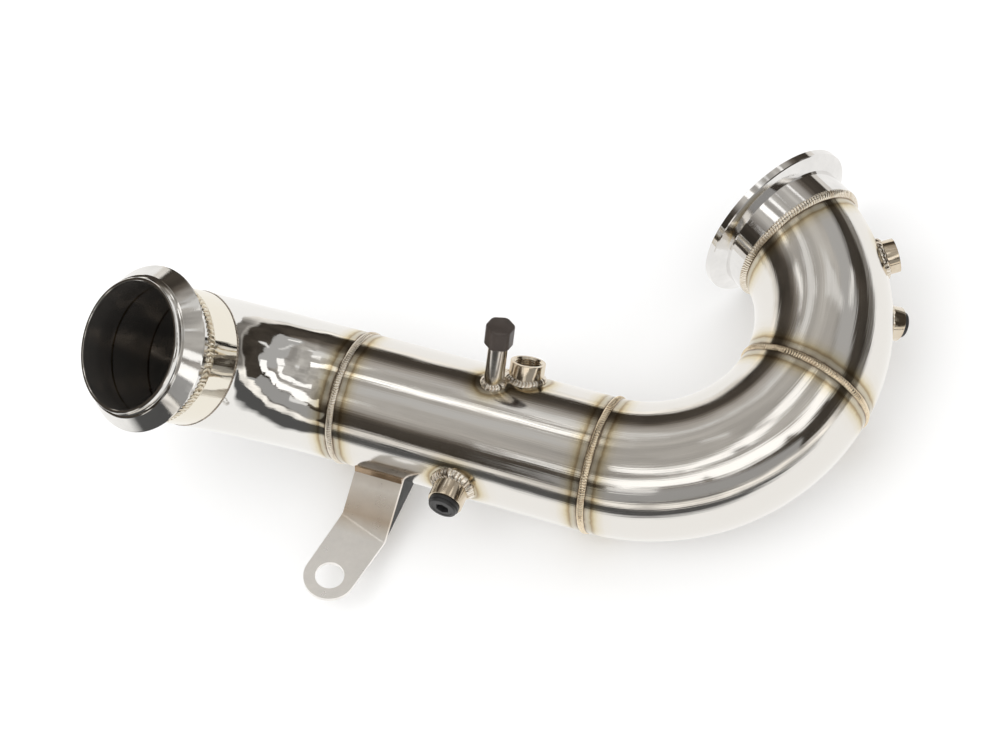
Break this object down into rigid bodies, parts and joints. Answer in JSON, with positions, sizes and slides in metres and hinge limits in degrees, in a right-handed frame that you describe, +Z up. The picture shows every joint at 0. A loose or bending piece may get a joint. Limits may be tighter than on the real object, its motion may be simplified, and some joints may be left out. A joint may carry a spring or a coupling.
{
  "type": "turbo downpipe",
  "caption": "Bent stainless exhaust pipe with a V-band flange at each end, welded elbows, threaded sensor bungs, a capped pressure port and a folded hanger bracket.",
  "frame": {"origin": "on the bench under the centre of the pipe's overall box, as it lies at rest", "axes": "+X along the straight main tube towards the double elbow, +Z up, +Y completing the set, towards the inlet"},
  "size_m": [0.4921, 0.3863, 0.1687],
  "materials": {
    "polished_tube": "polished stainless",
    "machined_steel": "turned, bright",
    "weld_bead": "rippled, straw coloured",
    "turned_steel": "turned",
    "black_plug": "black oxide",
    "black_cap": "satin black",
    "strap_steel": "satin",
    "gusset_steel": "satin, in shade"
  },
  "bodies": {
    "root": {"bracket": "strap_steel", "bracket_gusset": "gusset_steel", "bracket_weld": "weld_bead", "elbow_weld": "weld_bead", "front_elbow": "polished_tube", "front_weld": "weld_bead", "inlet_flange": "machined_steel", "inlet_weld": "weld_bead", "low_bung": "turned_steel", "low_bung_weld": "weld_bead", "low_plug": "black_plug", "lower_elbow": "polished_tube", "main_tube": "polished_tube", "main_weld": "weld_bead", "outlet_flange": "machined_steel", "outlet_stub": "polished_tube", "outlet_weld": "weld_bead", "port_cap": "black_cap", "port_weld": "weld_bead", "pressure_port": "turned_steel", "rear_bung": "turned_steel", "rear_bung_weld": "weld_bead", "rear_plug": "black_plug", "seam_weld": "weld_bead", "side_bung": "turned_steel", "side_bung_weld": "weld_bead", "top_bung": "turned_steel", "top_bung_weld": "weld_bead", "upper_elbow": "polished_tube"}
  },
  "joints": []
}
